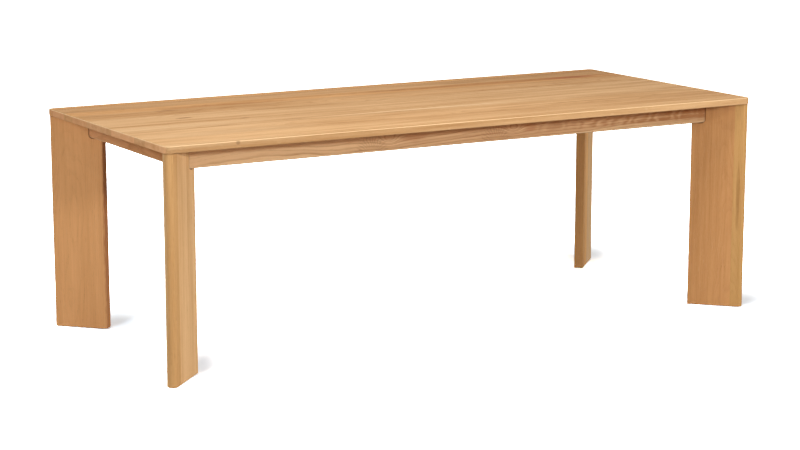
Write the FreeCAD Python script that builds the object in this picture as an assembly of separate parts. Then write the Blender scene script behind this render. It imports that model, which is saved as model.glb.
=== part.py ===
import FreeCAD, Part
# Oak dining table: edge-glued top, four diagonal plank legs, an apron frame let into them, and its hardware.
# Millimetres. The origin is on the floor under the middle of the top, +X runs along the length to the right,
# +Y to the back and +Z up. Every corner detail is drawn at the front left corner and mirrored to the others.
import math
import os

V = FreeCAD.Vector

# Top
TOP_LENGTH = 2200.0
TOP_WIDTH = 960.0
TOP_THICKNESS = 22.0
TABLE_HEIGHT = 740.0
TOP_CORNER_RADIUS = 20.0
TOP_ARRIS_RADIUS = 2.5
STAVE_MIX = (42, 104, 83, 63, 118, 93, 110, 120, 78, 100, 49)

# Legs
LEG_THICKNESS = 34.0
LEG_WIDTH = 198.0
LEG_INSET = 2.0
LEG_EDGE_RADIUS = 2.5
LEG_FOOT_CHAMFER = 1.5
LEG_OUTER_STAVE = 48.0
LEG_MIDDLE_STAVE = 78.0

# Felt glides, two under each leg
GLIDE_DIAMETER = 22.0
GLIDE_THICKNESS = 4.0
GLIDE_RECESS = 2.0
GLIDE_FROM_END = 33.0

# Aprons and their housings in the legs, whose inner ends stand past the aprons' inner faces
LEG_PAST_APRON = 10.0
APRON_HEIGHT = 69.0
APRON_THICKNESS = 24.0
APRON_OUTER_ROUND = 9.0
APRON_INNER_ROUND = 3.0
HOUSING_DEPTH = 6.0
JOINT_REVEAL = 2.0

# Cross rails between the long aprons
RAIL_OFFSET = 400.0
RAIL_THICKNESS = 24.0
RAIL_HEIGHT = 45.0
RAIL_ROUND = 3.0
RAIL_SCREW_FROM_END = 90.0
RAIL_SCREW_GRIP = 20.0
RAIL_SCREW_BITE = 14.0
RAIL_SCREW_PLAY = 1.5
RAIL_COUNTERBORE_PLAY = 2.0
DOWEL_DIAMETER = 8.0
DOWEL_IN_APRON = 16.0
DOWEL_IN_RAIL = 22.0
DOWEL_PITCH = 20.0
DOWEL_CHAMFER = 1.0

# Corner brackets and the hanger bolts that draw the legs against the aprons
BRACKET_PLATE = 2.5
BRACKET_HEIGHT = 56.0
BRACKET_WING = 48.0
BRACKET_GAP = 3.0
BRACKET_SCREW_PITCH = 20.0
BRACKET_SCREW_RISE = 28.0
BRACKET_SCREW_BITE = 15.0
BOLT_DIAMETER = 8.0
BOLT_BITE = 45.0
BOLT_PITCH = 30.0
BOLT_END_CHAMFER = 1.0
BOLT_TAIL = 5.0
BOLT_HOLE_PLAY = 0.5
WASHER_DIAMETER = 20.0
WASHER_THICKNESS = 2.0
NUT_ACROSS_FLATS = 13.0
NUT_THICKNESS = 6.5

# Clips that hold the top down and let it move across the grain
CLIP_PLATE = 2.0
CLIP_WIDTH = 20.0
CLIP_TONGUE = 8.0
CLIP_DROP = 11.0
CLIP_FLANGE = 24.0
CLIP_STANDOFF = 1.0
CLIP_SLOT_PLAY = 1.0
CLIP_SCREW_BITE = 14.0
LONG_APRON_CLIPS = 4
SHORT_APRON_CLIPS = 2
CLIP_FROM_END = 180.0
CLIP_RAIL_GAP = 10.0

# Pan-head wood screws
SCREW_DIAMETER = 4.0
SCREW_HEAD_DIAMETER = 8.0
SCREW_HEAD_HEIGHT = 2.6
SCREW_HEAD_ROUND = 1.6
SCREW_POINT = 4.0
SCREW_CROSS_WIDTH = 1.0
SCREW_CROSS_LENGTH = 4.4
SCREW_CROSS_DEPTH = 1.5
SCREW_HOLE_PLAY = 0.3

# Fits
BORE_PLAY = 0.1
BORE_END_ROOM = 1.0

# Heights and places worked out from the sizes above
ROOT2 = math.sqrt(2.0)
TOP_UNDERSIDE = TABLE_HEIGHT - TOP_THICKNESS
LEG_FOOT = GLIDE_THICKNESS - GLIDE_RECESS
APRON_BOTTOM = TOP_UNDERSIDE - APRON_HEIGHT
APRON_MIDDLE = TOP_UNDERSIDE - APRON_HEIGHT / 2
APRON_INNER = LEG_INSET + (LEG_WIDTH - LEG_PAST_APRON - LEG_THICKNESS / 2) / ROOT2
APRON_SETBACK = APRON_INNER - APRON_THICKNESS
CLIP_RISER = APRON_INNER + CLIP_STANDOFF + CLIP_PLATE / 2
LEG_TIP_RADIUS = min(TOP_CORNER_RADIUS - LEG_INSET, LEG_THICKNESS / ROOT2 - LEG_EDGE_RADIUS)
UP = V(0, 0, 1)
INTO_TABLE = V(1, 1, 0) / ROOT2
PLATE_NEAR_FACE = LEG_WIDTH + BRACKET_GAP
PLATE_FAR_FACE = PLATE_NEAR_FACE + BRACKET_PLATE
NUT_SEAT = PLATE_FAR_FACE + WASHER_THICKNESS


def at_corner(a, b, z):
    """Point a from the left edge and b from the front edge of the top, at height z."""
    return V(a - TOP_LENGTH / 2, b - TOP_WIDTH / 2, z)


def on_diagonal(u, side, z):
    """Point u in from the leg's tip along its plank and side across the plank, towards the front apron."""
    return at_corner(LEG_INSET + (u + side) / ROOT2, LEG_INSET + (u - side) / ROOT2, z)


def prism(points, rise):
    """Solid with a flat outline, pushed along rise."""
    outline = Part.Face(Part.makePolygon(points + points[:1]))
    return outline.extrude(rise)


def rod(diameter, start, end):
    """Round bar between two points."""
    return Part.makeCylinder(diameter / 2, (end - start).Length, start, end - start)


def placed(shape, seat, axis):
    """Copy of a shape drawn along +Z, set at seat and turned to axis."""
    copy = shape.copy()
    copy.Placement = FreeCAD.Placement(seat, FreeCAD.Rotation(UP, axis))
    return copy


def ribbon(line, thickness):
    """Outline of a bent strip of even thickness about a flat centre line of (p, q) pairs."""
    points = [V(p, q, 0) for p, q in line]
    runs = [(end - start).normalize() for start, end in zip(points, points[1:])]
    normals = [V(-run.y, run.x, 0) for run in runs]
    left, right = [], []
    for point, before, after in zip(points, normals[:1] + normals, normals + normals[-1:]):
        mitre = (before + after).normalize()
        offset = mitre * (thickness / 2 / mitre.dot(after))
        left.append(point + offset)
        right.append(point - offset)
    return left + right[::-1]


def mirrored(shape, across_length, across_width):
    """Copy of a front left shape at another corner."""
    copy = shape.copy()
    if across_length:
        copy = copy.mirror(V(0, 0, 0), V(1, 0, 0))
    if across_width:
        copy = copy.mirror(V(0, 0, 0), V(0, 1, 0))
    return copy


CORNERS = {"fl": (False, False), "fr": (True, False), "rl": (False, True), "rr": (True, True)}


def at_all_corners(shapes):
    """Front left shapes repeated at all four corners."""
    return [mirrored(shape, *flips) for flips in CORNERS.values() for shape in shapes]


def same(first, second, near=0.001):
    """Whether two lengths agree."""
    return abs(first - second) < near


def upright_edges_at(shape, points):
    """Edges of a shape that stand upright over any of the points."""
    edges = []
    for edge in shape.Edges:
        for point in points:
            if all(same(end.X, point.x) and same(end.Y, point.y) for end in edge.Vertexes):
                edges.append(edge)
    return edges


def flat_edges_at(shape, height):
    """Edges of a shape that lie wholly at one height."""
    return [edge for edge in shape.Edges if all(same(end.Z, height) for end in edge.Vertexes)]


# Screws, bolts and nuts, each drawn along +Z from the face that it seats on

def wood_screw(reach):
    """Pan-head screw whose head sits below z = 0 and whose point ends at z = reach."""
    head = Part.makeCylinder(SCREW_HEAD_DIAMETER / 2, SCREW_HEAD_HEIGHT, V(0, 0, -SCREW_HEAD_HEIGHT))
    head = head.makeFillet(SCREW_HEAD_ROUND, flat_edges_at(head, -SCREW_HEAD_HEIGHT))
    shank = Part.makeCylinder(SCREW_DIAMETER / 2, reach - SCREW_POINT)
    point = Part.makeCone(SCREW_DIAMETER / 2, 0, SCREW_POINT, V(0, 0, reach - SCREW_POINT))
    screw = head.fuse([shank, point]).removeSplitter()
    bar = Part.makeBox(SCREW_CROSS_LENGTH, SCREW_CROSS_WIDTH, SCREW_CROSS_DEPTH)
    bar.translate(V(-SCREW_CROSS_LENGTH / 2, -SCREW_CROSS_WIDTH / 2, -SCREW_HEAD_HEIGHT))
    cross_bar = bar.copy()
    cross_bar.rotate(V(0, 0, 0), UP, 90)
    return screw.cut([bar, cross_bar])


def screw_bore(reach):
    """Pilot hole for a screw, with room past its point."""
    return Part.makeCylinder(SCREW_DIAMETER / 2 + BORE_PLAY, reach + BORE_END_ROOM)


def screw_hole(depth):
    """Through hole that a screw's shank passes freely, centred on z = 0."""
    return Part.makeCylinder(SCREW_DIAMETER / 2 + SCREW_HOLE_PLAY, 2 * depth, V(0, 0, -depth))


def chamfered_rod(diameter, length, chamfer):
    """Round bar with both ends chamfered."""
    bar = Part.makeCylinder(diameter / 2, length)
    return bar.makeChamfer(chamfer, flat_edges_at(bar, 0) + flat_edges_at(bar, length))


def hex_nut():
    """Hexagon nut that seats at z = 0."""
    sides = 6
    corner = NUT_ACROSS_FLATS / 2 / math.cos(math.pi / sides)
    turns = [math.tau * i / sides for i in range(sides)]
    body = prism([V(corner * math.cos(t), corner * math.sin(t), 0) for t in turns], UP * NUT_THICKNESS)
    return body.cut(Part.makeCylinder(BOLT_DIAMETER / 2 + BORE_PLAY, NUT_THICKNESS))


def washer():
    """Flat washer that seats at z = 0."""
    disc = Part.makeCylinder(WASHER_DIAMETER / 2, WASHER_THICKNESS)
    return disc.cut(Part.makeCylinder(BOLT_DIAMETER / 2 + BOLT_HOLE_PLAY, WASHER_THICKNESS))


# Places of the fixings at the front left corner

BOLT_HEIGHTS = [APRON_MIDDLE - BOLT_PITCH / 2, APRON_MIDDLE + BOLT_PITCH / 2]


def bracket_bend():
    """How far along the aprons the bracket's plate meets its wings, on the plate's centre line."""
    plate_middle = (PLATE_NEAR_FACE + PLATE_FAR_FACE) / 2
    return 2 * LEG_INSET + plate_middle * ROOT2 - (APRON_INNER + BRACKET_PLATE / 2)


def bracket_screw_seats():
    """Seat and driving direction of each screw through the bracket's wings."""
    seats = []
    for step in (-1, 1):
        along = bracket_bend() + BRACKET_WING / 2 + step * BRACKET_SCREW_PITCH / 2
        height = APRON_MIDDLE + step * BRACKET_SCREW_RISE / 2
        across = APRON_INNER + BRACKET_PLATE
        seats.append((at_corner(along, across, height), V(0, -1, 0)))
        seats.append((at_corner(across, along, height), V(-1, 0, 0)))
    return seats


def glide_centres():
    """Where the glides sit under the leg, at the foot of the recess in its end grain."""
    return [on_diagonal(u, 0, 0) for u in (GLIDE_FROM_END, LEG_WIDTH - GLIDE_FROM_END)]


# Aprons

def apron_end(b):
    """Distance of a mitred apron end from the table's edge, at b from the edge that it runs beside."""
    return b + LEG_THICKNESS / ROOT2 - HOUSING_DEPTH * ROOT2


def apron_blank(run, span, grow, headroom):
    """Apron beside the front edge, or the left edge for run "y", made larger all round by grow."""
    outer = APRON_SETBACK - grow
    inner = APRON_INNER + grow
    bottom = APRON_BOTTOM - grow
    outline = [V(apron_end(outer), outer, bottom), V(span - apron_end(outer), outer, bottom),
               V(span - apron_end(inner), inner, bottom), V(apron_end(inner), inner, bottom)]
    blank = prism(outline, UP * (TOP_UNDERSIDE + headroom - bottom))
    for across, radius in ((outer, APRON_OUTER_ROUND + grow), (inner, APRON_INNER_ROUND + grow)):
        lower = flat_edges_at(blank, bottom)
        blank = blank.makeFillet(radius, [e for e in lower if all(same(v.Y, across) for v in e.Vertexes)])
    if run == "y":
        blank = blank.mirror(V(0, 0, 0), V(1, -1, 0))
    blank.translate(at_corner(0, 0, 0))
    return blank


def clip_places(count, side):
    """Places of an even row of clips about the middle of the apron beside an edge of that length."""
    span = side - 2 * APRON_INNER - 2 * CLIP_FROM_END
    gaps = round(count) - 1
    return [span * (i - gaps / 2) / max(gaps, 1) for i in range(gaps + 1)]


def beside_rails(place):
    """Place along a long apron, moved beside a cross rail that a clip would meet there."""
    reach = (RAIL_THICKNESS + CLIP_WIDTH) / 2 + CLIP_RAIL_GAP
    past = abs(place) - RAIL_OFFSET
    if abs(past) >= reach:
        return place
    return math.copysign(RAIL_OFFSET + math.copysign(reach, past), place)


def front_clip_line():
    """Centre line of a clip in (b, z): tongue in the apron, riser, flange under the top."""
    flange = TOP_UNDERSIDE - CLIP_PLATE / 2
    tongue = flange - CLIP_DROP
    tip = APRON_INNER - CLIP_TONGUE
    return [(tip, tongue), (CLIP_RISER, tongue), (CLIP_RISER, flange), (CLIP_RISER + CLIP_FLANGE, flange)]


def clip_screw_across():
    """Distance of the clip screws from the edge of the top."""
    return CLIP_RISER + CLIP_FLANGE / 2


def clip_blank():
    """One clip on the front apron at the middle of the table's length."""
    side = (TOP_LENGTH - CLIP_WIDTH) / 2
    outline = [at_corner(side, p.x, p.y) for p in ribbon(front_clip_line(), CLIP_PLATE)]
    hole = placed(screw_hole(CLIP_PLATE), at_corner(TOP_LENGTH / 2, clip_screw_across(), TOP_UNDERSIDE), UP)
    return prism(outline, V(CLIP_WIDTH, 0, 0)).cut(hole)


def clip_slot():
    """Slot in the front apron for the tongue of that clip, tight above the tongue."""
    tongue_top = front_clip_line()[0][1] + CLIP_PLATE / 2
    height = CLIP_PLATE + CLIP_SLOT_PLAY
    depth = CLIP_TONGUE + CLIP_SLOT_PLAY
    width = CLIP_WIDTH + 2 * CLIP_SLOT_PLAY
    low = at_corner(TOP_LENGTH / 2 - width / 2, APRON_INNER - depth, tongue_top - height)
    return Part.makeBox(width, depth, height, low)


def clip_seat():
    """Seat of the screw through that clip."""
    return at_corner(TOP_LENGTH / 2, clip_screw_across(), TOP_UNDERSIDE - CLIP_PLATE)


def on_long_aprons(shape):
    """Shape drawn at the middle of the front apron, repeated along both long aprons."""
    row = []
    for place in clip_places(LONG_APRON_CLIPS, TOP_LENGTH):
        copy = shape.copy()
        copy.translate(V(beside_rails(place), 0, 0))
        row += [copy, mirrored(copy, False, True)]
    return row


def on_short_aprons(shape):
    """The same shape turned to the left apron and repeated along both short aprons."""
    row = []
    for place in clip_places(SHORT_APRON_CLIPS, TOP_WIDTH):
        copy = shape.copy()
        copy.rotate(V(0, 0, 0), UP, -90)
        copy.translate(V((TOP_WIDTH - TOP_LENGTH) / 2, place, 0))
        row += [copy, mirrored(copy, True, False)]
    return row


# Cross rails

def rail_ends():
    """Bearing points of the dowels on the front apron's inner face, for the right cross rail."""
    along = TOP_LENGTH / 2 + RAIL_OFFSET
    middle = TOP_UNDERSIDE - RAIL_HEIGHT / 2
    return [at_corner(along, APRON_INNER, middle + step * DOWEL_PITCH / 2) for step in (-1, 1)]


def rail_dowel_bores():
    """Bores for the dowels at the front end of the right cross rail."""
    reach_in = V(0, DOWEL_IN_RAIL + BORE_END_ROOM, 0)
    reach_out = V(0, DOWEL_IN_APRON + BORE_END_ROOM, 0)
    return [rod(DOWEL_DIAMETER + 2 * BORE_PLAY, p - reach_out, p + reach_in) for p in rail_ends()]


def rail_dowels():
    """Dowels at the front end of the right cross rail."""
    dowel = chamfered_rod(DOWEL_DIAMETER, DOWEL_IN_APRON + DOWEL_IN_RAIL, DOWEL_CHAMFER)
    return [placed(dowel, p - V(0, DOWEL_IN_APRON, 0), V(0, 1, 0)) for p in rail_ends()]


def rail_screw_seats():
    """Seats of the screws up through the right cross rail into the top."""
    reach = TOP_WIDTH / 2 - APRON_INNER - RAIL_SCREW_FROM_END
    height = TOP_UNDERSIDE - RAIL_SCREW_GRIP
    return [V(RAIL_OFFSET, step * reach, height) for step in (-1, 0, 1)]


def cross_rail():
    """Right cross rail with its counterbored screw holes and dowel bores."""
    length = TOP_WIDTH - 2 * APRON_INNER
    low = V(RAIL_OFFSET - RAIL_THICKNESS / 2, -length / 2, TOP_UNDERSIDE - RAIL_HEIGHT)
    rail = Part.makeBox(RAIL_THICKNESS, length, RAIL_HEIGHT, low)
    lower = flat_edges_at(rail, low.z)
    rail = rail.makeFillet(RAIL_ROUND, [e for e in lower if same(e.Vertexes[0].X, e.Vertexes[-1].X)])
    cuts = []
    for seat in rail_screw_seats():
        cuts.append(rod(SCREW_DIAMETER + 2 * RAIL_SCREW_PLAY, seat, seat + UP * RAIL_SCREW_GRIP))
        cuts.append(rod(SCREW_HEAD_DIAMETER + 2 * RAIL_COUNTERBORE_PLAY, V(seat.x, seat.y, low.z), seat))
    for bore in rail_dowel_bores():
        cuts += [bore, mirrored(bore, False, True)]
    return rail.cut(cuts)


# Top

def top_slab():
    """Whole top with its rounded corners and arrises and the pilot holes in its underside."""
    slab = Part.makeBox(TOP_LENGTH, TOP_WIDTH, TOP_THICKNESS, at_corner(0, 0, TOP_UNDERSIDE))
    corners = [mirrored(Part.Vertex(at_corner(0, 0, 0)), *flips).Point for flips in CORNERS.values()]
    slab = slab.makeFillet(TOP_CORNER_RADIUS, upright_edges_at(slab, corners))
    rims = flat_edges_at(slab, TOP_UNDERSIDE) + flat_edges_at(slab, TABLE_HEIGHT)
    slab = slab.makeFillet(TOP_ARRIS_RADIUS, rims)
    clip_bore = placed(screw_bore(CLIP_PLATE + CLIP_SCREW_BITE), clip_seat(), UP)
    bores = on_long_aprons(clip_bore) + on_short_aprons(clip_bore)
    for seat in rail_screw_seats():
        bore = placed(screw_bore(RAIL_SCREW_GRIP + RAIL_SCREW_BITE), seat, UP)
        bores += [bore, mirrored(bore, True, False)]
    return slab.cut(bores)


def top_staves():
    """Full-length staves of the top, from the front edge to the back."""
    slab = top_slab()
    staves = []
    front = 0.0
    for share in STAVE_MIX:
        width = TOP_WIDTH * share / sum(STAVE_MIX)
        strip = Part.makeBox(TOP_LENGTH, width, TOP_THICKNESS, at_corner(0, front, TOP_UNDERSIDE))
        staves.append(slab.common(strip))
        front += width
    return staves


# Legs

def leg_plank():
    """Front left leg as one plank: rounded outer corner, housings, bolt bores and glide recesses."""
    half = LEG_THICKNESS / 2
    section = [(0, 0), (half, half), (LEG_WIDTH, half), (LEG_WIDTH, -half), (half, -half)]
    tip, *corners = [on_diagonal(u, side, LEG_FOOT) for u, side in section]
    plank = prism([tip] + corners, UP * (TOP_UNDERSIDE - LEG_FOOT))
    plank = plank.makeFillet(LEG_TIP_RADIUS, upright_edges_at(plank, [tip]))
    plank = plank.makeFillet(LEG_EDGE_RADIUS, upright_edges_at(plank, corners))
    plank = plank.makeChamfer(LEG_FOOT_CHAMFER, flat_edges_at(plank, LEG_FOOT))
    cuts = [apron_blank("x", TOP_LENGTH, JOINT_REVEAL, BORE_END_ROOM),
            apron_blank("y", TOP_WIDTH, JOINT_REVEAL, BORE_END_ROOM)]
    for height in BOLT_HEIGHTS:
        start = on_diagonal(LEG_WIDTH - BOLT_BITE - BORE_END_ROOM, 0, height)
        cuts.append(rod(BOLT_DIAMETER + 2 * BORE_PLAY, start, on_diagonal(PLATE_NEAR_FACE, 0, height)))
    for centre in glide_centres():
        cuts.append(rod(GLIDE_DIAMETER + 2 * BORE_PLAY, centre, centre + UP * GLIDE_THICKNESS))
    return plank.cut(cuts)


def leg_staves():
    """The plank's three staves, from its outer corner inwards."""
    plank = leg_plank()
    first = LEG_OUTER_STAVE
    second = LEG_OUTER_STAVE + LEG_MIDDLE_STAVE
    bands = {"outer": (-LEG_WIDTH, first), "middle": (first, second), "inner": (second, 2 * LEG_WIDTH)}
    staves = {}
    for name, (start, end) in bands.items():
        corners = [on_diagonal(start, -LEG_WIDTH, 0), on_diagonal(end, -LEG_WIDTH, 0),
                   on_diagonal(end, LEG_WIDTH, 0), on_diagonal(start, LEG_WIDTH, 0)]
        staves[name] = plank.common(prism(corners, UP * TABLE_HEIGHT))
    return staves


def glides():
    """Felt discs in the recesses under the front left leg."""
    return [Part.makeCylinder(GLIDE_DIAMETER / 2, GLIDE_THICKNESS, centre) for centre in glide_centres()]


# Corner hardware

def corner_bracket():
    """Bent steel plate across the front left corner, with a wing flat on each apron."""
    bend = bracket_bend()
    wing = APRON_INNER + BRACKET_PLATE / 2
    line = [(bend + BRACKET_WING, wing), (bend, wing), (wing, bend), (wing, bend + BRACKET_WING)]
    foot = APRON_MIDDLE - BRACKET_HEIGHT / 2
    outline = [at_corner(p.x, p.y, foot) for p in ribbon(line, BRACKET_PLATE)]
    holes = [placed(screw_hole(2 * BRACKET_PLATE), seat, axis) for seat, axis in bracket_screw_seats()]
    for height in BOLT_HEIGHTS:
        reach = (on_diagonal(LEG_WIDTH, 0, height), on_diagonal(NUT_SEAT, 0, height))
        holes.append(rod(BOLT_DIAMETER + 2 * BOLT_HOLE_PLAY, *reach))
    return prism(outline, UP * BRACKET_HEIGHT).cut(holes)


def hanger_bolts():
    """Bolts in the inner end of the front left leg, through the bracket's plate."""
    length = BOLT_BITE + NUT_SEAT - LEG_WIDTH + NUT_THICKNESS + BOLT_TAIL
    bolt = chamfered_rod(BOLT_DIAMETER, length, BOLT_END_CHAMFER)
    return [placed(bolt, on_diagonal(LEG_WIDTH - BOLT_BITE, 0, z), INTO_TABLE) for z in BOLT_HEIGHTS]


def apron_with_fixings(run, span, clip_slots, other_bores):
    """Apron with its clip slots and the pilot holes of the bracket screws."""
    screw_bores = []
    for seat, axis in bracket_screw_seats():
        screw_bores.append(placed(screw_bore(BRACKET_PLATE + BRACKET_SCREW_BITE), seat, axis))
    return apron_blank(run, span, 0, 0).cut(at_all_corners(screw_bores) + clip_slots + other_bores)


def build():
    """Every node of the table, by name, as a list of its solids."""
    nodes = {}
    for number, stave in enumerate(top_staves(), start=1):
        nodes[f"top_stave_{number:02d}"] = [stave]

    staves = leg_staves()
    bracket = corner_bracket()
    for corner, flips in CORNERS.items():
        for name, stave in staves.items():
            nodes[f"leg_{corner}_{name}_stave"] = [mirrored(stave, *flips)]
        nodes[f"glides_{corner}"] = [mirrored(disc, *flips) for disc in glides()]
        nodes[f"corner_bracket_{corner}"] = [mirrored(bracket, *flips)]

    rail_bores = []
    for bore in rail_dowel_bores():
        rail_bores += [bore, mirrored(bore, True, False)]
    front = apron_with_fixings("x", TOP_LENGTH, on_long_aprons(clip_slot()), rail_bores)
    left = apron_with_fixings("y", TOP_WIDTH, on_short_aprons(clip_slot()), [])
    nodes["front_apron"] = [front]
    nodes["rear_apron"] = [mirrored(front, False, True)]
    nodes["left_apron"] = [left]
    nodes["right_apron"] = [mirrored(left, True, False)]

    rail = cross_rail()
    nodes["cross_rail_right"] = [rail]
    nodes["cross_rail_left"] = [mirrored(rail, True, False)]
    nodes["rail_dowels"] = at_all_corners(rail_dowels())
    rail_screw = wood_screw(RAIL_SCREW_GRIP + RAIL_SCREW_BITE)
    right_screws = [placed(rail_screw, seat, UP) for seat in rail_screw_seats()]
    nodes["rail_screws"] = right_screws + [mirrored(screw, True, False) for screw in right_screws]

    nodes["hanger_bolts"] = at_all_corners(hanger_bolts())
    washers = [placed(washer(), on_diagonal(PLATE_FAR_FACE, 0, z), INTO_TABLE) for z in BOLT_HEIGHTS]
    nodes["bolt_washers"] = at_all_corners(washers)
    nuts = [placed(hex_nut(), on_diagonal(NUT_SEAT, 0, z), INTO_TABLE) for z in BOLT_HEIGHTS]
    nodes["bolt_nuts"] = at_all_corners(nuts)
    bracket_screw = wood_screw(BRACKET_PLATE + BRACKET_SCREW_BITE)
    bracket_screws = [placed(bracket_screw, seat, axis) for seat, axis in bracket_screw_seats()]
    nodes["bracket_screws"] = at_all_corners(bracket_screws)

    clip = clip_blank()
    nodes["top_clips"] = on_long_aprons(clip) + on_short_aprons(clip)
    clip_screw = placed(wood_screw(CLIP_PLATE + CLIP_SCREW_BITE), clip_seat(), UP)
    nodes["clip_screws"] = on_long_aprons(clip_screw) + on_short_aprons(clip_screw)
    return nodes


os.makedirs("parts", exist_ok=True)
for node, solids in build().items():
    shape = Part.Compound(solids) if len(solids) > 1 else solids[0]
    shape.exportStep(f"parts/{node}.step")
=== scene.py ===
"""Looks of the oak dining table: oiled oak boards, zinc-plated hardware and felt, on a white studio floor."""
import math
import random

import bmesh
import bpy
from mathutils import Matrix, Vector


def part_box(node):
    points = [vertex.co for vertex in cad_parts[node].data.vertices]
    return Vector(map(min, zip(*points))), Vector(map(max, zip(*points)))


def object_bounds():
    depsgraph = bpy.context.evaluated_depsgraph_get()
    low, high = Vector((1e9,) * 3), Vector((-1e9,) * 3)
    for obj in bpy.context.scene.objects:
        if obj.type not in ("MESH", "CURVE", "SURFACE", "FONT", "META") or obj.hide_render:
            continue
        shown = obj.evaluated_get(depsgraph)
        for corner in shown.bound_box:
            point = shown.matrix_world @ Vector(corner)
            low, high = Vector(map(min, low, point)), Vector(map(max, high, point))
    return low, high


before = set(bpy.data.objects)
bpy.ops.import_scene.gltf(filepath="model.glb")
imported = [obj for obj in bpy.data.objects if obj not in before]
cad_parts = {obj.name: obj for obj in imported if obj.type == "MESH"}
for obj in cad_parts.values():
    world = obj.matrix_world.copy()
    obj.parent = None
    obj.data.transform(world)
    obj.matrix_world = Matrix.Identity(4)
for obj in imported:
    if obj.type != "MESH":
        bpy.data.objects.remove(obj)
cad_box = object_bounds()

X_AXIS, Y_AXIS, Z_AXIS = Vector((1, 0, 0)), Vector((0, 1, 0)), Vector((0, 0, 1))

# Camera, in metres and degrees, with its sensor in millimetres. The image is taken to be 800 pixels wide.
IMAGE_WIDTH = 800
FOCAL_PIXELS = 2158.5
SENSOR_WIDTH = 36.0
CAMERA_PLACE = Vector((-3.652, -6.273, 1.728))
CAMERA_HEADING = 30.06
CAMERA_DOWN = 10.99

# Soft square lights: place, aim, side in metres and power in watts
LIGHTS = {
    "key": (Vector((-0.6, -1.0, 3.9)), Vector((-0.1, 0.0, 0.7)), 1.4, 77),
    "fill": (Vector((1.7, -5.1, 2.05)), Vector((0.0, 0.0, 0.5)), 0.6, 146),
    "side": (Vector((-5.0, -2.6, 2.3)), Vector((0.0, 0.0, 0.5)), 1.0, 76),
    "back": (Vector((1.9, 4.9, 0.45)), Vector((0.0, 0.0, 0.45)), 0.5, 60),
}
AMBIENT = (0.31, 0.295, 0.272, 1)
WHITE = (1, 1, 1, 1)

# Floor: radius in metres, corners round it, the grey that it bounces light with, and how bright it shows
FLOOR_RADIUS = 30.0
FLOOR_CORNERS = 64
FLOOR_BOUNCE = (0.50, 0.50, 0.50, 1)
FLOOR_SHOWN = (6.0, 6.0, 6.0)

# Painted shadow on the floor beside each foot, where the floor shows less bright so that its real shade comes
# through: how bright the floor shows there in red, green and blue, and the shade's half width in metres
FOOT_SHADES = {
    "fl": ((1.19, 1.28, 1.39), 0.036),
    "fr": ((1.38, 1.51, 1.64), 0.085),
    "rl": ((1.62, 1.92, 2.22), 0.080),
    "rr": ((1.46, 1.56, 1.68), 0.056),
}

# Place of a shade: from the middle of a leg's glides to the right end of its foot, along and across the
# table, and from there to the shade's middle. Then the shades' half depth in metres, heading in degrees, and
# fading.
FOOT_END = 0.07
FOOT_SHADE_OFFSET = Vector((0.058, 0.070))
FOOT_SHADE_DEPTH = 0.12
FOOT_SHADE_HEADING = 30.0
FOOT_SHADE_FADE = 0.45

# Oak tones as they look on a flat lit board, in sRGB: the pale part of the grain, then its darker part
OAK_TONES = {
    "pale": ((234, 195, 148), (204, 158, 108)),
    "honey": ((239, 196, 144), (204, 156, 104)),
    "tan": ((220, 177, 128), (185, 138, 90)),
    "fawn": ((216, 174, 127), (181, 136, 89)),
    "brown": ((214, 164, 110), (173, 121, 73)),
    "amber": ((212, 157, 104), (179, 125, 77)),
    "straw": ((210, 163, 105), (182, 135, 81)),
    "peach": ((232, 172, 122), (190, 131, 83)),
    "rose": ((228, 185, 139), (158, 109, 70)),
    "wheat": ((212, 167, 118), (174, 127, 80)),
    "oat": ((204, 160, 113), (168, 123, 78)),
    "copper": ((244, 184, 126), (215, 155, 100)),
    "butter": ((222, 174, 118), (190, 140, 86)),
    "apricot": ((255, 198, 132), (230, 170, 108)),
}
PORE_COLOUR = (120, 78, 44)
RAY_COLOUR = (240, 205, 160)
# Painted highlight on the rounded edges
ARRIS_HIGHLIGHT_COLOUR = (250, 216, 168)
END_GRAIN_COLOUR = (255, 188, 136)
# Painted shade in the joints
JOINT_SHADE_COLOUR = (108, 58, 26)
MARK_COLOURS = {
    "mineral": (120, 76, 40),
    "red": (166, 102, 64),
    # Painted shade under the top
    "under_top_shade": (184, 104, 48),
    # Pale streaks, and painted sheen and light
    "pale": (248, 214, 168),
}

# Zinc and felt, in sRGB
ZINC_BRIGHT = (206, 208, 212)
PLATE_TINT = (168, 172, 178)
FASTENER_TINT = (160, 160, 158)
FELT_DARK = (84, 68, 56)
FELT_PALE = (150, 128, 108)

# Noise patterns: cycles per metre along each axis, detail and roughness. Those of the oak run along, across
# and through a board, and its rays along it, out from the pith, and round the pith in cycles per radian.
PATTERNS = {
    "wander": ((1.6, 7, 7), 2.0, 0.5),
    "ripple": ((9, 30, 30), 2.0, 0.5),
    "pore": ((55, 1900, 1900), 1.0, 0.5),
    "ray": ((45, 70, 190), 1.0, 0.5),
    "curl_waver": ((10, 26, 26), 2.0, 0.5),
    "curl_patch": ((9, 22, 22), 1.0, 0.5),
    "fibre": ((16, 700, 700), 3.0, 0.6),
    "streak": ((1.5, 42, 42), 5.0, 0.65),
    "cloud": ((0.9, 11, 11), 3.0, 0.5),
    "fray": ((25, 350, 350), 3.0, 0.6),
    "fan_waver": ((30, 60, 60), 2.0, 0.5),
    "zinc_mottle": ((160, 160, 160), 3.0, 0.5),
    "plate_brush": ((60, 60, 900), 2.0, 0.5),
    "fastener_brush": ((400, 400, 400), 2.0, 0.5),
    "felt_fibre": ((1500, 1500, 1500), 4.0, 0.7),
    "felt_clump": ((220, 220, 220), 2.0, 0.5),
}
NOISE_MIDDLE = 0.5

# Seeds of the patterns that don't take the seed of a board
PATTERN_SEEDS = {
    "fray": 4.0,
    "fan_waver": 9.0,
    "zinc_mottle": 3.0,
    "plate_brush": 7.0,
    "fastener_brush": 7.0,
    "felt_fibre": 1.0,
    "felt_clump": 2.0,
}

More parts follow.
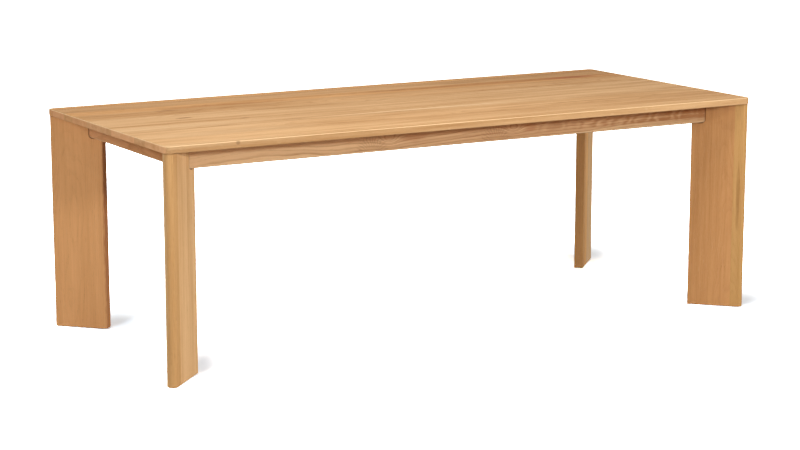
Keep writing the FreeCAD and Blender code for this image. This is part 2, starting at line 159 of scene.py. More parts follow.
# Growth rings: shares of a ring over which its early wood goes out and that of the next ring comes in, the
# middle of its tone, and how much the years differ
EARLY_WOOD_OUT = (0.0, 0.5)
EARLY_WOOD_IN = (0.92, 1.0)
RING_MIDDLE = 0.7
YEAR_SPREAD = 0.8

# Pores, rays and fibres: levels of noise between which they come in, share of the pores in late wood, and
# strengths. Then the middle of the grain between its pale and its dark tone.
PORE_LEVELS = (0.60, 0.70)
LATE_PORES = 0.2
PORE_STRENGTH = 0.40
RAY_LEVELS = (0.62, 0.72)
RAY_STRENGTH = 0.16
FIBRE_STRENGTH = 0.4
GRAIN_MIDDLE = 0.45

# Curly figure: length of a band in metres, its slant and waver, the levels of noise and the places along and
# across the board between which it comes in, and how far it takes the rings back
CURL_LENGTH = 0.042
CURL_SLANT = -0.9
CURL_WAVER = 0.2
CURL_PATCHES = (-0.22, 0.12)
CURL_START = (0.0, 0.2)
CURL_BOTTOM = (-0.020, -0.012)
CURL_CALM = -2.5

# Finish of the oak: roughness, what streaks and pores add to it, relief of pores and fibres, bump and gloss
OAK_ROUGHNESS = 0.66
STREAK_ROUGHNESS = 0.14
PORE_ROUGHNESS = 0.2
PORE_RELIEF = -0.7
FIBRE_RELIEF = 0.5
OAK_BUMP = {"Strength": 0.3, "Distance": 0.0004}
OAK_GLOSS = 0.04

# End grain: how squarely a face cuts the grain where it comes in, and the strengths that are drawn from
END_GRAIN_TURN = (0.55, 0.9)
END_GRAIN_STRENGTH = (0.3, 0.7)

# Painted highlight on rounded edges: rises of a face between which the highlight comes in and goes out, and
# strength. Below zero, the highlight is on the edges that face down.
HIGHLIGHT_IN = (0.1, 0.4)
HIGHLIGHT_OUT = (0.8, 0.99)
EDGE_HIGHLIGHT = 0.75
APRON_EDGE_HIGHLIGHT = -0.35

# Painted shade in the joints: width of the line in metres and where its edge fades, at the housings and under
# the top, radius of the housings' lower corners in metres, strength, and the share of it under the top
JOINT_SHADE_WIDTH = 0.0036
HOUSING_SHADE_EDGE = (JOINT_SHADE_WIDTH * 0.8, JOINT_SHADE_WIDTH * 1.2)
UNDER_TOP_SHADE_EDGE = (JOINT_SHADE_WIDTH * 0.5, JOINT_SHADE_WIDTH * 1.5)
JOINT_CORNER = 0.011
JOINT_SHADE_STRENGTH = 0.64
UNDER_TOP_SHADE_SHARE = 0.6

# Cut of a board from the tree: ranges that are drawn from for each board, in metres, with the tilt as a slope
PITH_ACROSS = (-0.09, 0.09)
PITH_BELOW = (0.03, 0.16)
PITH_TILT = (0.004, 0.02)
RING_WIDTH = (0.0026, 0.0042)
BOARD_SEED = (0, 50)

# Cut of every board, and what differs in the top, the legs and the aprons, with painted shade in the aprons
BOARD_CUT = {"Wander": 0.06, "Ripple": 0.8, "Rings": 0.25, "Clouds": 1.3, "Streaks": 1.8, "Curl": 0.0,
             "Curl From": 0.0, "Fade": 0.0}
TOP_CUT = {"Rings": 0.22, "Clouds": 1.2, "Streaks": 3.2}
LEG_CUT = {"Rings": 0.10, "Clouds": 0.9, "Streaks": 1.6}
# Painted shade: the front and rear aprons darken toward the right through their fade
APRON_CUT_AND_SHADE = {"Rings": 0.38, "Ripple": 1.0, "Wander": 0.035, "Ring Width": 0.006, "Pith Across": -0.06,
             "Pith Below": 0.05, "Pith Tilt": -0.02, "Clouds": 1.0, "Streaks": 0.9, "Curl": 0.20,
             "Curl From": 0.2, "Fade": 0.65}
# Painted shade: the side aprons darken toward the front through their fade
SIDE_APRON_SHADE = {"Fade": -1.4}

# Tones of the top's staves from front to back, and how much they darken to the right
TOP_TONES = ("tan", "tan", "wheat", "tan", "fawn", "fawn", "fawn", "wheat", "brown", "oat", "brown")
TOP_FADES = (0.0, 0.05, 0.1, -0.1, 0.05, -0.1, 0.1, 0.0, 0.2, 0.08, 0.2)

# Tones of each leg's staves, and its outward directions along and across the table
LEG_STAVES = ("outer", "middle", "inner")
LEG_TONES = {
    "fl": ("butter", "honey", "honey"),
    "fr": ("straw", "amber", "amber"),
    "rl": ("copper", "copper", "copper"),
    "rr": ("pale", "pale", "apricot"),
}
LEG_OUTWARD = {"fl": (-1, -1), "fr": (1, -1), "rl": (-1, 1), "rr": (1, 1)}

# Streaks, bands and a small knot in the boards, and marks of painted light and shade: colour, centre along,
# across and through the board, half length, width and depth in metres, and strength
WOOD_MARKS = {
    "top_stave_01": (
        ("mineral", (-0.861, -0.021, 0.006), (0.009, 0.010, 0.009), 0.62),
        ("mineral", (-0.980, -0.012, 0.011), (0.120, 0.003, 0.010), 0.40),
        ("mineral", (-0.560, -0.012, 0.011), (0.160, 0.003, 0.010), 0.30),
        # Painted sheen: paler toward the top's left end
        ("pale", (-1.000, 0.000, 0.011), (0.500, 0.060, 0.020), 0.20),
    ),
    "top_stave_03": (
        # Painted sheen: paler toward the top's left end
        ("pale", (-0.850, 0.000, 0.011), (0.450, 0.070, 0.020), 0.26),
    ),
    "top_stave_04": (
        # Painted sheen: paler toward the top's left end
        ("pale", (-0.900, 0.000, 0.011), (0.500, 0.060, 0.020), 0.14),
    ),
    "top_stave_05": (
        ("mineral", (-0.770, -0.035, 0.011), (0.050, 0.007, 0.010), 0.40),
        ("mineral", (-0.500, -0.020, 0.011), (0.070, 0.006, 0.010), 0.40),
        ("pale", (0.000, -0.022, 0.011), (0.480, 0.014, 0.010), 0.50),
        # Painted sheen: paler toward the top's left end
        ("pale", (-0.950, 0.010, 0.011), (0.450, 0.060, 0.020), 0.20),
    ),
    "top_stave_06": (
        ("mineral", (-0.630, -0.027, 0.011), (0.022, 0.008, 0.010), 0.70),
    ),
    "top_stave_07": (
        ("mineral", (-0.800, -0.032, 0.011), (0.036, 0.010, 0.010), 0.85),
    ),
    "top_stave_08": (
        ("mineral", (-0.780, 0.036, 0.011), (0.050, 0.014, 0.010), 0.45),
        ("mineral", (0.760, -0.015, 0.011), (0.090, 0.008, 0.010), 0.50),
    ),
    "top_stave_09": (
        ("red", (0.880, 0.010, 0.011), (0.140, 0.034, 0.010), 0.75),
        ("mineral", (0.900, 0.012, 0.011), (0.060, 0.012, 0.010), 0.50),
        ("mineral", (0.100, 0.015, 0.011), (0.120, 0.010, 0.010), 0.40),
    ),
    "top_stave_10": (
        ("mineral", (0.450, -0.020, 0.011), (0.130, 0.012, 0.010), 0.40),
        ("mineral", (-0.350, 0.015, 0.011), (0.160, 0.010, 0.010), 0.35),
    ),
    "front_apron": (
        ("red", (-0.190, 0.006, 0.012), (0.060, 0.022, 0.010), 0.30),
        ("red", (0.255, 0.004, 0.012), (0.030, 0.020, 0.010), 0.35),
        # Painted light: a paler strip along the lower edge of the apron's right half
        ("pale", (0.800, -0.024, 0.008), (0.520, 0.013, 0.012), 0.28),
        ("red", (0.050, 0.000, 0.012), (0.600, 0.080, 0.030), 0.13),
        # Painted shade: a warm dark band along the apron's upper part, under the top
        ("under_top_shade", (0.000, 0.014, 0.012), (2.500, 0.013, 0.020), 0.34),
    ),
    "leg_fl_outer_stave": (
        # Painted light: a paler strip down the tip of the leg
        ("pale", (0.000, 0.018, -0.012), (0.600, 0.014, 0.010), 0.35),
    ),
    "leg_fr_outer_stave": (
        ("mineral", (0.030, 0.002, -0.017), (0.150, 0.008, 0.012), 0.40),
    ),
    "leg_rl_inner_stave": (
        ("red", (0.000, -0.038, 0.000), (0.700, 0.010, 0.030), 0.75),
    ),
}
FRAY_SPREAD = 1.6

# Swells of the grain in a board: centre along and across it, reach both ways, rise across and through it
GRAIN_SWELLS = {
    "front_apron": (
        ((-0.76, 0.000), (0.190, 0.200), (0.024, 0.000)),
        ((-0.28, 0.004), (0.030, 0.015), (0.000, 0.024)),
        ((0.19, 0.004), (0.030, 0.015), (0.000, 0.024)),
    ),
}

# Fans of rays beside the loops in the grain: centre along and across the board, and radius
RAY_FANS = {"front_apron": ((-0.345, -0.040, 0.064), (0.118, -0.040, 0.064))}

# Lines in a full turn of a fan, their waver, the levels between which they come in, the shares of the radius
# over which they come in and go out, and strength
FAN_LINES = 30
FAN_WAVER = 0.5
FAN_LEVELS = (-0.2, 1.0)
FAN_IN = (0.15, 0.5)
FAN_OUT = (0.7, 1.1)
FAN_STRENGTH = 0.28

# Finish of the zinc: share of the mottle beside the brushing, roughness where it is darkest, what its bright
# places add, and bump
MOTTLE_SHARE = 0.5
ZINC_ROUGHNESS = 0.22
ZINC_ROUGHNESS_SPREAD = 0.3
ZINC_BUMP = {"Strength": 0.2, "Distance": 0.0002}

# Finish of the felt: share of the fibres beside the clumps, roughness, sheen and bump
FIBRE_SHARE = 0.7
FELT_ROUGHNESS = 0.95
FELT_SHEEN = 0.4
FELT_BUMP = {"Strength": 0.6, "Distance": 0.0006}

FLOAT, COLOUR, VECTOR = "NodeSocketFloat", "NodeSocketColor", "NodeSocketVector"


# Node building

def linear(colour):
    """Scene colour of an sRGB colour in steps of 255."""
    parts = [c / 255 for c in colour]
    return [p / 12.92 if p <= 0.04045 else ((p + 0.055) / 1.055) ** 2.4 for p in parts] + [1.0]


def feed(tree, socket, value):
    """Links a socket to another one, or sets it to a plain value."""
    if isinstance(value, bpy.types.NodeSocket):
        tree.links.new(value, socket)
    else:
        socket.default_value = value


def feed_named(tree, node, feeds):
    """Feeds the inputs of a node by their names."""
    for name, value in feeds.items():
        feed(tree, node.inputs[name], value)


def put(tree, kind, feeds=None, **settings):
    """New node with its settings, and its named inputs fed."""
    node = tree.nodes.new(kind)
    for name, value in settings.items():
        setattr(node, name, value)
    feed_named(tree, node, feeds or {})
    return node


def put_group(tree, group, feeds):
    """Outputs of a group placed in a material, with its inputs fed."""
    return put(tree, "ShaderNodeGroup", feeds, node_tree=group).outputs


def calc(tree, operation, *values, clamp=False):
    """Result of a Math node."""
    node = put(tree, "ShaderNodeMath", operation=operation, use_clamp=clamp)
    for socket, value in zip(node.inputs, values):
        feed(tree, socket, value)
    return node.outputs[0]


def more(tree, amount, value, rest, clamp=False):
    """Rest plus an amount of a value."""
    return calc(tree, "MULTIPLY_ADD", amount, value, rest, clamp=clamp)


def distance(tree, first, second):
    """Distance from zero of two offsets at right angles."""
    return calc(tree, "SQRT", more(tree, first, first, calc(tree, "MULTIPLY", second, second)))


def weighed(tree, share, first, second):
    """Sum of a share of one value and the rest of another."""
    return more(tree, first, share, calc(tree, "MULTIPLY", second, 1 - share))


def vector_calc(tree, operation, *values):
    """Result of a Vector Math node, its value for a dot product."""
    node = put(tree, "ShaderNodeVectorMath", operation=operation)
    for socket, value in zip(node.inputs, values):
        feed(tree, socket, value)
    return node.outputs["Value" if operation == "DOT_PRODUCT" else "Vector"]


def split(tree, vector):
    """X, Y and Z of a vector."""
    return put(tree, "ShaderNodeSeparateXYZ", {"Vector": vector}).outputs


def ellipsoid(tree, place, centre, half_size):
    """Square of how far a place is from a centre, 1 on an ellipsoid of this half size."""
    share = vector_calc(tree, "DIVIDE", vector_calc(tree, "SUBTRACT", place, centre), half_size)
    return vector_calc(tree, "DOT_PRODUCT", share, share)


def step(tree, value, low, high, to_low=0.0, to_high=1.0):
    """Smooth step of a value between two levels."""
    feeds = {"Value": value, "From Min": low, "From Max": high, "To Min": to_low, "To Max": to_high}
    return put(tree, "ShaderNodeMapRange", feeds, interpolation_type="SMOOTHSTEP").outputs["Result"]


def fall(tree, value, low, high, height=1.0):
    """Smooth step of a value between two levels, from a height down to zero."""
    return step(tree, value, low, high, height, 0.0)


def mix(tree, factor, first, second):
    """Colour mixed from two colours."""
    node = put(tree, "ShaderNodeMix", {"Factor": factor}, data_type="RGBA")
    colours = [socket for socket in node.inputs if socket.type == "RGBA"]
    feed(tree, colours[0], first)
    feed(tree, colours[1], second)
    return [socket for socket in node.outputs if socket.type == "RGBA"][0]


def tinted(tree, colour, tint, mask, strength):
    """Colour with an sRGB tint over it where a mask shows, at a strength."""
    return mix(tree, calc(tree, "MULTIPLY", mask, strength), colour, linear(tint))


def mix_shader(tree, factor, first, second):
    """Shader mixed from two shaders."""
    node = put(tree, "ShaderNodeMixShader", {"Fac": factor})
    feed(tree, node.inputs[1], first)
    feed(tree, node.inputs[2], second)
    return node.outputs["Shader"]


def noise(tree, place, pattern, seed=None):
    """Outputs of the noise of a named pattern, which takes its own seed where none is given."""
    stretch, detail, roughness = PATTERNS[pattern]
    scaled = vector_calc(tree, "MULTIPLY", place, stretch)
    own_seed = PATTERN_SEEDS[pattern] if seed is None else seed
    feeds = {"Vector": scaled, "W": own_seed, "Scale": 1.0, "Detail": detail, "Roughness": roughness}
    return put(tree, "ShaderNodeTexNoise", feeds, noise_dimensions="4D").outputs


def bump(tree, height, depth):
    """Normal with fine relief from a height, at a strength and distance."""
    return put(tree, "ShaderNodeBump", {"Height": height, **depth}).outputs["Normal"]


def new_group(name, inputs, outputs):
    """Shader node group with its named sockets, and its input and output nodes."""
    tree = bpy.data.node_groups.new(name, "ShaderNodeTree")
    for label, kind in inputs.items():
        tree.interface.new_socket(label, in_out="INPUT", socket_type=kind)
    for label, kind in outputs.items():
        tree.interface.new_socket(label, in_out="OUTPUT", socket_type=kind)
    return tree, tree.nodes.new("NodeGroupInput").outputs, tree.nodes.new("NodeGroupOutput").inputs


def cleared_tree(owner):
    """Empty node tree of a new material or world."""
    owner.use_nodes = True
    owner.node_tree.nodes.clear()
    return owner.node_tree


def new_material(name):
    """Material with only an output and a Principled shader joined to it."""
    material = bpy.data.materials.new(name)
    tree = cleared_tree(material)
    shader = put(tree, "ShaderNodeBsdfPrincipled")
    put(tree, "ShaderNodeOutputMaterial", {"Surface": shader.outputs["BSDF"]})
    return material, tree, shader


# Wood

def oak_grain_group():
    """Solid oak: rings about a pith, streaks, pores and rays, placed along, across and through a board."""
    drawn = ("Pith Across", "Pith Below", "Pith Tilt", "Ring Width", "Seed")
    numbers = (*drawn, *BOARD_CUT, "End Grain", "Arris Highlight")
    inputs = {"Board": VECTOR, **dict.fromkeys(numbers, FLOAT), "Pale": COLOUR, "Dark": COLOUR}
    outputs = {"Color": COLOUR, "Roughness": FLOAT, "Height": FLOAT}
    tree, given, result = new_group("oak_grain", inputs, outputs)
    board, seed = given["Board"], given["Seed"]

    def about_zero(pattern):
        """Noise of a pattern on the board, about zero."""
        return calc(tree, "SUBTRACT", noise(tree, board, pattern, seed)["Fac"], NOISE_MIDDLE)

    # Growth rings about a pith that leans away from the board and wanders
    at = split(tree, board)
    drift = split(tree, noise(tree, board, "wander", seed)["Color"])
    across = more(tree, drift["Y"], given["Wander"], calc(tree, "SUBTRACT", at["Y"], given["Pith Across"]))
    lean = more(tree, at["X"], given["Pith Tilt"], given["Pith Below"])
    below = more(tree, drift["Z"], given["Wander"], calc(tree, "ADD", at["Z"], lean))
    radius = distance(tree, across, below)
    rings = calc(tree, "DIVIDE", radius, given["Ring Width"])
    rings = more(tree, about_zero("ripple"), given["Ripple"], rings)
    share = calc(tree, "FRACT", rings)
    early = calc(tree, "ADD", fall(tree, share, *EARLY_WOOD_OUT), step(tree, share, *EARLY_WOOD_IN))
    year = put(tree, "ShaderNodeTexWhiteNoise", {"W": calc(tree, "FLOOR", rings)}, noise_dimensions="1D")
    ring_tone = more(tree, year.outputs["Value"], YEAR_SPREAD, calc(tree, "SUBTRACT", early, RING_MIDDLE))

    # Pores as short dashes in the early wood, and rays as flecks across the rings
    pore = step(tree, noise(tree, board, "pore", seed)["Fac"], *PORE_LEVELS)
    pores = calc(tree, "MULTIPLY", pore, more(tree, early, 1 - LATE_PORES, LATE_PORES))
    angle = calc(tree, "ARCTAN2", below, across)
    ray_place = put(tree, "ShaderNodeCombineXYZ", {"X": at["X"], "Y": radius, "Z": angle}).outputs["Vector"]
    rays = step(tree, noise(tree, ray_place, "ray", seed)["Fac"], *RAY_LEVELS)

    # Curly figure: slanting bands that come and go along the board, and take the rings back where they show
    slant = more(tree, about_zero("curl_waver"), CURL_WAVER, at["X"])
    slant = more(tree, at["Y"], CURL_SLANT, slant)
    bands = calc(tree, "SINE", calc(tree, "MULTIPLY", slant, math.tau / CURL_LENGTH))
    past_start = step(tree, calc(tree, "SUBTRACT", at["X"], given["Curl From"]), *CURL_START)
    shown = calc(tree, "MULTIPLY", step(tree, about_zero("curl_patch"), *CURL_PATCHES), past_start)
    shown = calc(tree, "MULTIPLY", shown, step(tree, at["Y"], *CURL_BOTTOM))
    bands = calc(tree, "MULTIPLY", bands, shown)
    calm = more(tree, calc(tree, "MULTIPLY", shown, given["Curl"]), CURL_CALM, 1.0)
    ring_tone = calc(tree, "MULTIPLY", ring_tone, calm)

    # Colour, from the sum of all that darkens the wood, with pores, rays, end grain and the painted edge
    # highlight over it
    fibre = about_zero("fibre")
    streak = about_zero("streak")
    darkness = more(tree, about_zero("cloud"), given["Clouds"], GRAIN_MIDDLE)
    # The fade darkens along the board: a tone in the top's staves, painted shade in the aprons
    darkness = more(tree, at["X"], given["Fade"], darkness)
    darkness = more(tree, streak, given["Streaks"], darkness)
    darkness = more(tree, fibre, FIBRE_STRENGTH, darkness)
    darkness = more(tree, bands, given["Curl"], darkness)
    darkness = more(tree, ring_tone, given["Rings"], darkness, clamp=True)
    colour = mix(tree, darkness, given["Pale"], given["Dark"])
    colour = tinted(tree, colour, PORE_COLOUR, pores, PORE_STRENGTH)
    colour = tinted(tree, colour, RAY_COLOUR, rays, RAY_STRENGTH)
    colour = mix(tree, given["End Grain"], colour, linear(END_GRAIN_COLOUR))
    # Painted highlight on the rounded edges of the board
    colour = mix(tree, given["Arris Highlight"], colour, linear(ARRIS_HIGHLIGHT_COLOUR))

    roughness = more(tree, streak, STREAK_ROUGHNESS, OAK_ROUGHNESS)
    height = calc(tree, "MULTIPLY", fibre, FIBRE_RELIEF)
    feed(tree, result["Color"], colour)
    feed(tree, result["Roughness"], more(tree, pores, PORE_ROUGHNESS, roughness))
    feed(tree, result["Height"], more(tree, pores, PORE_RELIEF, height))
    return tree


def wood_mark_group():
    """Frayed lens-shaped mark in a board, for a streak, a band, a small knot, or painted sheen, light or
    shade.
    """
    inputs = {"Board": VECTOR, "Centre": VECTOR, "Half Size": VECTOR}
    tree, given, result = new_group("wood_mark", inputs, {"Mask": FLOAT})
    away = ellipsoid(tree, given["Board"], given["Centre"], given["Half Size"])
    fray = noise(tree, given["Board"], "fray")["Fac"]
    frayed = more(tree, fray, FRAY_SPREAD, calc(tree, "SUBTRACT", away, FRAY_SPREAD * NOISE_MIDDLE))
    feed(tree, result["Mask"], fall(tree, frayed, 0.0, 1.0))
    return tree


def grain_swell_group():
    """Bump that the grain bends round: 1 at its centre, and falling off along and across the board."""
    inputs = {"Board": VECTOR, "Centre": VECTOR, "Reach": VECTOR}
    tree, given, result = new_group("grain_swell", inputs, {"Value": FLOAT})
    away = ellipsoid(tree, given["Board"], given["Centre"], given["Reach"])
    feed(tree, result["Value"], calc(tree, "POWER", math.e, calc(tree, "MULTIPLY", away, -1.0)))
    return tree


def joint_shade_group():
    """Painted shade in the joints: round the ends of the aprons in the legs, and right under the top."""
    tree, given, result = new_group("joint_shade", {"Place": VECTOR}, {"Mask": FLOAT})
    at = split(tree, given["Place"])
    sides = [calc(tree, "ABSOLUTE", at[axis]) for axis in "XY"]

    # Above zero on the side of a leg that faces the end of the table, and below zero on its other side
    half_table = (cad_box[1] - cad_box[0]) / 2
    toward_end = calc(tree, "SUBTRACT", calc(tree, "SUBTRACT", *sides), half_table.x - half_table.y)
    # Painted shade round the end of each apron where it goes into a leg
    lines = []
    for name, axis, on_face in (("front_apron", 1, "LESS_THAN"), ("left_apron", 0, "GREATER_THAN")):
        low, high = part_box(name)
        off = calc(tree, "ABSOLUTE", calc(tree, "ADD", sides[axis], (low[axis] + high[axis]) / 2))
        corner = (high[axis] - low[axis]) / 2 - JOINT_CORNER
        past = calc(tree, "MAXIMUM", calc(tree, "SUBTRACT", off, corner), 0.0)
        below = calc(tree, "MAXIMUM", calc(tree, "SUBTRACT", low.z + JOINT_CORNER, at["Z"]), 0.0)
        clear = calc(tree, "SUBTRACT", distance(tree, past, below), JOINT_CORNER)
        shade_line = fall(tree, clear, *HOUSING_SHADE_EDGE)
        lines.append(calc(tree, "MULTIPLY", shade_line, calc(tree, on_face, toward_end, 0.0)))
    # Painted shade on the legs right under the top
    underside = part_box("top_stave_01")[0].z
    gap = calc(tree, "SUBTRACT", underside, at["Z"])
    under_top_shade = fall(tree, gap, *UNDER_TOP_SHADE_EDGE, UNDER_TOP_SHADE_SHARE)
    feed(tree, result["Mask"], calc(tree, "MAXIMUM", under_top_shade, calc(tree, "MAXIMUM", *lines)))
    return tree


def ray_fan_group():
    """Fine lines that spread from a point on a board, as rays do beside a loop in the grain."""
    inputs = {"Board": VECTOR, "Along": FLOAT, "Across": FLOAT, "Radius": FLOAT}
    tree, given, result = new_group("ray_fan", inputs, {"Mask": FLOAT})
    at = split(tree, given["Board"])
    along = calc(tree, "SUBTRACT", at["X"], given["Along"])
    across = calc(tree, "SUBTRACT", at["Y"], given["Across"])
    waver = noise(tree, given["Board"], "fan_waver")["Fac"]
    angle = more(tree, waver, FAN_WAVER, calc(tree, "ARCTAN2", across, along))
    lines = step(tree, calc(tree, "SINE", calc(tree, "MULTIPLY", angle, FAN_LINES)), *FAN_LEVELS)
    share = calc(tree, "DIVIDE", distance(tree, along, across), given["Radius"])
    ring = calc(tree, "MULTIPLY", step(tree, share, *FAN_IN), fall(tree, share, *FAN_OUT))
    feed(tree, result["Mask"], calc(tree, "MULTIPLY", lines, ring))
    return tree


OAK_GRAIN = oak_grain_group()
WOOD_MARK = wood_mark_group()
RAY_FAN = ray_fan_group()
GRAIN_SWELL = grain_swell_group()
JOINT_SHADE_GROUP = joint_shade_group()


def board_cut(draw, traits):
    """Cut of one board: what is drawn for it, what all boards have, and its own traits in their place."""
    return {
        "Pith Across": draw.uniform(*PITH_ACROSS),
        "Pith Below": draw.uniform(*PITH_BELOW),
        "Pith Tilt": draw.choice((-1, 1)) * draw.uniform(*PITH_TILT),
        "Ring Width": draw.uniform(*RING_WIDTH),
        "Seed": draw.uniform(*BOARD_SEED),
        **BOARD_CUT,
        **traits,
    }


def board_place(tree, place, node, grain, width):
    """Coordinates along, across and through a board, from its middle."""
    low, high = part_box(node)
    turn = Matrix((grain, width, grain.cross(width)))
    feeds = {"Vector": place, "Rotation": turn.to_euler(), "Location": -(turn @ ((low + high) / 2))}
    return put(tree, "ShaderNodeMapping", feeds).outputs["Vector"]


def swollen(tree, node, board):
    """Board coordinates bent round the swells of its grain."""
    for centre, reach, (rise_across, rise_through) in GRAIN_SWELLS.get(node, ()):
        feeds = {"Board": board, "Centre": (*centre, 0), "Reach": (*reach, 1)}
        swell = put_group(tree, GRAIN_SWELL, feeds)["Value"]
        rises = {
            "Y": calc(tree, "MULTIPLY", swell, -rise_across),
            "Z": calc(tree, "MULTIPLY", swell, rise_through),
        }
        rise = put(tree, "ShaderNodeCombineXYZ", rises).outputs["Vector"]
        board = vector_calc(tree, "ADD", board, rise)
    return board


def marked(tree, node, board, colour):
    """Colour of a board with its streaks, bands, knot and ray fans, and its marks of painted light and shade.
    """
    for kind, centre, half_size, strength in WOOD_MARKS.get(node, ()):
        feeds = {"Board": board, "Centre": centre, "Half Size": half_size}
        mask = put_group(tree, WOOD_MARK, feeds)["Mask"]
        colour = tinted(tree, colour, MARK_COLOURS[kind], mask, strength)
    for along, across, radius in RAY_FANS.get(node, ()):
        feeds = {"Board": board, "Along": along, "Across": across, "Radius": radius}
        mask = put_group(tree, RAY_FAN, feeds)["Mask"]
        colour = tinted(tree, colour, MARK_COLOURS["mineral"], mask, FAN_STRENGTH)
    return colour


def joint_shaded(tree, node, place, colour):
    """Colour of a board with the painted shade of its joints, which shows on the legs."""
    if not node.startswith("leg_"):
        return colour
    shade_line = put_group(tree, JOINT_SHADE_GROUP, {"Place": place})["Mask"]
    return tinted(tree, colour, JOINT_SHADE_COLOUR, shade_line, JOINT_SHADE_STRENGTH)


def oak_material(node, grain, width, tone, edge_highlight=EDGE_HIGHLIGHT, **traits):
    """Oak for one board, with the directions of its grain and width, its tone, its painted edge highlight and
    its cut.
    """
    draw = random.Random(node)
    cut = board_cut(draw, traits)
    material, tree, shader = new_material("oak_" + node)
    place = put(tree, "ShaderNodeTexCoord").outputs
    board = board_place(tree, place["Object"], node, grain, width)
    square_cut = calc(tree, "ABSOLUTE", vector_calc(tree, "DOT_PRODUCT", place["Normal"], grain))
    end = step(tree, square_cut, *END_GRAIN_TURN, 0.0, draw.uniform(*END_GRAIN_STRENGTH))
    # Painted highlight: rounded edges that face up, or down where the strength is below zero, are lighter
    rise = calc(tree, "MULTIPLY", split(tree, place["Normal"])["Z"], math.copysign(1, edge_highlight))
    arris_highlight = calc(tree, "MULTIPLY", step(tree, rise, *HIGHLIGHT_IN, 0.0, abs(edge_highlight)), fall(tree, rise, *HIGHLIGHT_OUT))
    pale, dark = (linear(colour) for colour in OAK_TONES[tone])
    grain_place = swollen(tree, node, board)
    feeds = {"Board": grain_place, "End Grain": end, "Arris Highlight": arris_highlight, "Pale": pale, "Dark": dark, **cut}
    wood = put_group(tree, OAK_GRAIN, feeds)
    feed_named(tree, shader, {
        "Base Color": joint_shaded(tree, node, place["Object"], marked(tree, node, board, wood["Color"])),
        "Roughness": wood["Roughness"],
        "Normal": bump(tree, wood["Height"], OAK_BUMP),
        "Specular IOR Level": OAK_GLOSS,
    })
    return material


def dress(node, material):
    """Gives a node of the table its material."""
    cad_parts[node].data.materials.clear()
    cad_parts[node].data.materials.append(material)


def dress_boards():
    """Every wooden piece of the table."""
    for number, (tone, fade) in enumerate(zip(TOP_TONES, TOP_FADES), start=1):
        node = f"top_stave_{number:02d}"
        dress(node, oak_material(node, X_AXIS, Y_AXIS, tone, Fade=fade, **TOP_CUT))
    for corner, tones in LEG_TONES.items():
        outward = Vector((*LEG_OUTWARD[corner], 0)).normalized()
        for part, tone in zip(LEG_STAVES, tones):
            node = f"leg_{corner}_{part}_stave"
            dress(node, oak_material(node, Z_AXIS, outward, tone, **LEG_CUT))
    # The aprons take the painted highlight on their lower edges
    for side in ("front", "rear"):
        node = f"{side}_apron"
        dress(node, oak_material(node, X_AXIS, Z_AXIS, "rose", APRON_EDGE_HIGHLIGHT, **APRON_CUT_AND_SHADE))
    for side in ("left", "right"):
        node = f"{side}_apron"
        dress(node, oak_material(node, Y_AXIS, Z_AXIS, "peach", APRON_EDGE_HIGHLIGHT, **SIDE_APRON_SHADE))
        node = f"cross_rail_{side}"
        dress(node, oak_material(node, Y_AXIS, Z_AXIS, "tan"))
    dress("rail_dowels", oak_material("rail_dowels", Y_AXIS, Z_AXIS, "pale"))


# Metal and felt

def zinc_material(name, tint, brush):
    """Zinc-plated steel with a mottled, faintly brushed finish; brush names the pattern of the brushing."""
    material, tree, shader = new_material(name)
    place = put(tree, "ShaderNodeTexCoord").outputs["Object"]
    brushed = noise(tree, place, brush)["Fac"]
    shade = weighed(tree, MOTTLE_SHARE, noise(tree, place, "zinc_mottle")["Fac"], brushed)
    feed_named(tree, shader, {
        "Base Color": mix(tree, shade, linear(tint), linear(ZINC_BRIGHT)),
        "Metallic": 1.0,
        "Roughness": more(tree, shade, ZINC_ROUGHNESS_SPREAD, ZINC_ROUGHNESS),
        "Normal": bump(tree, brushed, ZINC_BUMP),
    })
    return material


def felt_material():
    """Pressed brown felt with short fibres."""
    material, tree, shader = new_material("felt")
    place = put(tree, "ShaderNodeTexCoord").outputs["Object"]
    fibres = noise(tree, place, "felt_fibre")["Fac"]
    shade = weighed(tree, FIBRE_SHARE, fibres, noise(tree, place, "felt_clump")["Fac"])
    feed_named(tree, shader, {
        "Base Color": mix(tree, shade, linear(FELT_DARK), linear(FELT_PALE)),
        "Roughness": FELT_ROUGHNESS,
        "Sheen Weight": FELT_SHEEN,
        "Normal": bump(tree, shade, FELT_BUMP),
    })
    return material


def dress_hardware():
    """Brackets, clips, fasteners and glides."""
    plate = zinc_material("zinc_plate", PLATE_TINT, "plate_brush")
    fastener = zinc_material("zinc_fasteners", FASTENER_TINT, "fastener_brush")
    felt = felt_material()
    for corner in LEG_OUTWARD:
        dress(f"corner_bracket_{corner}", plate)
        dress(f"glides_{corner}", felt)
    dress("top_clips", plate)
    for node in ("hanger_bolts", "bolt_washers", "bolt_nuts", "bracket_screws", "clip_screws", "rail_screws"):
        dress(node, fastener)


# Studio

def seen_rays(tree):
    """1 for rays that show the background itself: camera, glossy and transmission rays."""
    path = put(tree, "ShaderNodeLightPath").outputs
    shown = calc(tree, "ADD", path["Is Camera Ray"], path["Is Glossy Ray"])
    return calc(tree, "ADD", shown, path["Is Transmission Ray"], clamp=True)


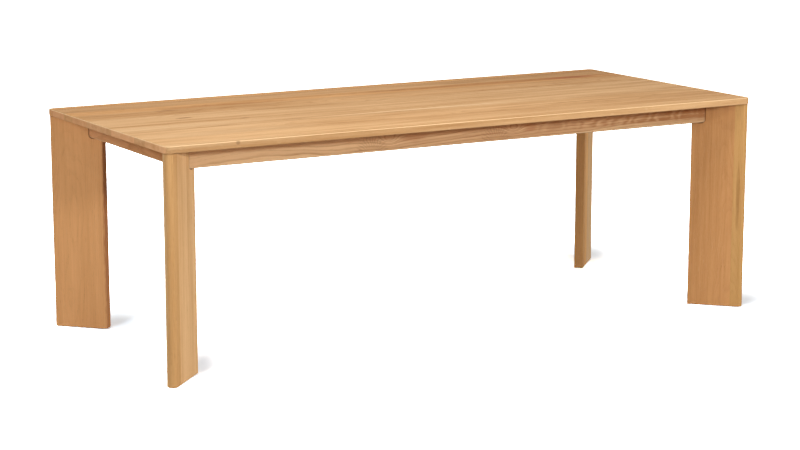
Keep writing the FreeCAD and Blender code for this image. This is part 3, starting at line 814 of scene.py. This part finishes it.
def floor_brightness(tree):
    """How bright the floor shows: white, and less in a painted shadow beside each foot."""
    place = put(tree, "ShaderNodeTexCoord").outputs["Object"]
    turn = (0, 0, -math.radians(FOOT_SHADE_HEADING))
    brightness = FLOOR_SHOWN
    for corner, (level, half_width) in FOOT_SHADES.items():
        low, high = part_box(f"glides_{corner}")
        lengthways, crossways = LEG_OUTWARD[corner]
        foot_end = (low.xy + high.xy) / 2 + FOOT_END * Vector((1, lengthways * crossways))
        feeds = {"Vector": place, "Location": (*(foot_end + FOOT_SHADE_OFFSET), 0), "Rotation": turn,
                 "Scale": (half_width, FOOT_SHADE_DEPTH, 1)}
        share = put(tree, "ShaderNodeMapping", feeds, vector_type="TEXTURE").outputs["Vector"]
        away = vector_calc(tree, "DOT_PRODUCT", share, share)
        shade = vector_calc(tree, "MULTIPLY", more(tree, away, FOOT_SHADE_FADE, 1.0), level)
        brightness = vector_calc(tree, "MINIMUM", brightness, shade)
    return brightness


def floor_material():
    """White to the camera and in reflections, grey to the light that it bounces, and clear from below."""
    material = bpy.data.materials.new("floor_white")
    tree = cleared_tree(material)
    bounce = put(tree, "ShaderNodeBsdfDiffuse", {"Color": FLOOR_BOUNCE}).outputs["BSDF"]
    shown = put(tree, "ShaderNodeBsdfDiffuse", {"Color": floor_brightness(tree)}).outputs["BSDF"]
    mirrored = put(tree, "ShaderNodeEmission").outputs["Emission"]
    clear = put(tree, "ShaderNodeBsdfTransparent").outputs["BSDF"]
    straight = put(tree, "ShaderNodeLightPath").outputs["Is Camera Ray"]
    below = put(tree, "ShaderNodeNewGeometry").outputs["Backfacing"]
    seen = mix_shader(tree, straight, mirrored, shown)
    from_above = mix_shader(tree, seen_rays(tree), bounce, seen)
    put(tree, "ShaderNodeOutputMaterial", {"Surface": mix_shader(tree, below, from_above, clear)})
    return material


def studio_floor():
    """Wide floor under the table."""
    shape = bmesh.new()
    bmesh.ops.create_circle(shape, cap_ends=True, segments=FLOOR_CORNERS, radius=FLOOR_RADIUS)
    mesh = bpy.data.meshes.new("floor")
    shape.to_mesh(mesh)
    shape.free()
    mesh.materials.append(floor_material())
    floor = bpy.data.objects.new("floor", mesh)
    bpy.context.scene.collection.objects.link(floor)


def studio_world():
    """White surroundings, softer as a light than as a background."""
    world = bpy.data.worlds.new("studio")
    tree = cleared_tree(world)
    background = put(tree, "ShaderNodeBackground", {"Color": mix(tree, seen_rays(tree), AMBIENT, WHITE)})
    put(tree, "ShaderNodeOutputWorld", {"Surface": background.outputs["Background"]})
    bpy.context.scene.world = world


def studio_lights():
    """Square soft lights, each turned to its aim."""
    for name, (place, aim, side, power) in LIGHTS.items():
        lamp = bpy.data.lights.new(name, "AREA")
        lamp.size = side
        lamp.energy = power
        light = bpy.data.objects.new(name, lamp)
        light.location = place
        light.rotation_euler = (aim - place).to_track_quat("-Z", "Y").to_euler()
        bpy.context.scene.collection.objects.link(light)


def studio_camera():
    """Camera at the photograph's viewing angle."""
    lens = bpy.data.cameras.new("camera")
    lens.sensor_width = SENSOR_WIDTH
    lens.lens = FOCAL_PIXELS / IMAGE_WIDTH * SENSOR_WIDTH
    camera = bpy.data.objects.new("camera", lens)
    camera.location = CAMERA_PLACE
    camera.rotation_euler = (math.radians(90 - CAMERA_DOWN), 0, -math.radians(CAMERA_HEADING))
    bpy.context.scene.collection.objects.link(camera)
    bpy.context.scene.camera = camera


dress_boards()
dress_hardware()
studio_floor()
studio_world()
studio_lights()
studio_camera()
bpy.context.scene.view_settings.view_transform = "Standard"
